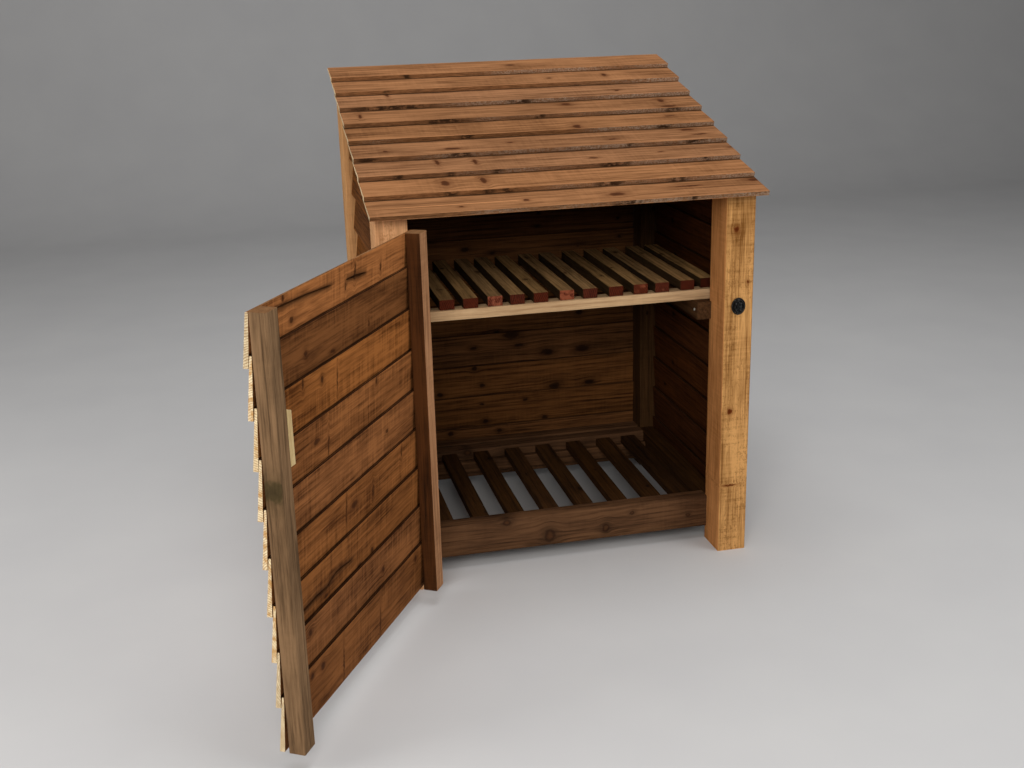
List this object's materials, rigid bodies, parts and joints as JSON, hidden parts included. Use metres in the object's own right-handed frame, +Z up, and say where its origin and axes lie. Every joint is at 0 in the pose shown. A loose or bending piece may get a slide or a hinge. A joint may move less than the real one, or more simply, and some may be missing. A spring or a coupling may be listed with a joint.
{
  "type": "log store",
  "caption": "Small timber log store with posts, lapped boards on walls, roof and door, a slatted floor, a slatted shelf and a side-hinged door that stands open.",
  "frame": {"origin": "on the ground, below the middle of the outline's box with the door open as stored", "axes": "+X to the right as seen from the front, +Y from the doorway to the back wall, +Z up"},
  "size_m": [1.2964, 1.5169, 1.26],
  "materials": {
    "post_wood": "rough sawn, stained",
    "rail_wood": "rough sawn, stained",
    "board_wood": "rough sawn, stained",
    "roof_wood": "rough sawn, stained",
    "shelf_wood": "rough sawn, stained",
    "batten_wood": "rough sawn, stained",
    "pale_wood": "rough sawn, stained",
    "black_iron": "black, satin"
  },
  "bodies": {
    "store": {"front_post_left": "post_wood", "front_post_right": "post_wood", "back_post_left": "post_wood", "back_post_right": "post_wood", "side_bottom_rail_left": "rail_wood", "side_bottom_rail_right": "rail_wood", "side_top_rail_left": "rail_wood", "side_top_rail_right": "rail_wood", "back_bottom_rail": "rail_wood", "back_top_rail": "rail_wood", "floor_front_rail": "rail_wood", "floor_back_rail": "rail_wood", "floor_ledger_front": "rail_wood", "floor_ledger_back": "rail_wood", "floor_slats": "rail_wood", "shelf_bearer_left": "rail_wood", "shelf_bearer_right": "rail_wood", "left_side_boards": "board_wood", "right_side_boards": "board_wood", "back_boards": "board_wood", "roof_boards": "roof_wood", "shelf_front_rail": "shelf_wood", "shelf_back_rail": "shelf_wood", "shelf_slats": "shelf_wood", "door_catch": "black_iron", "hinge_plate_top": "black_iron", "hinge_plate_bottom": "black_iron"},
    "door": {"door_batten_hinge": "batten_wood", "door_batten_free": "batten_wood", "door_boards": "board_wood", "hinge_strap_top": "black_iron", "hinge_strap_bottom": "black_iron", "catch_block": "pale_wood"}
  },
  "joints": [
    {"name": "door_hinge", "type": "hinge", "parent": "store", "child": "door", "pos_m": [-0.24976, -0.05051, 0.49249], "axis": [0, 0, -1], "range_deg": [-121, 54]}
  ]
}
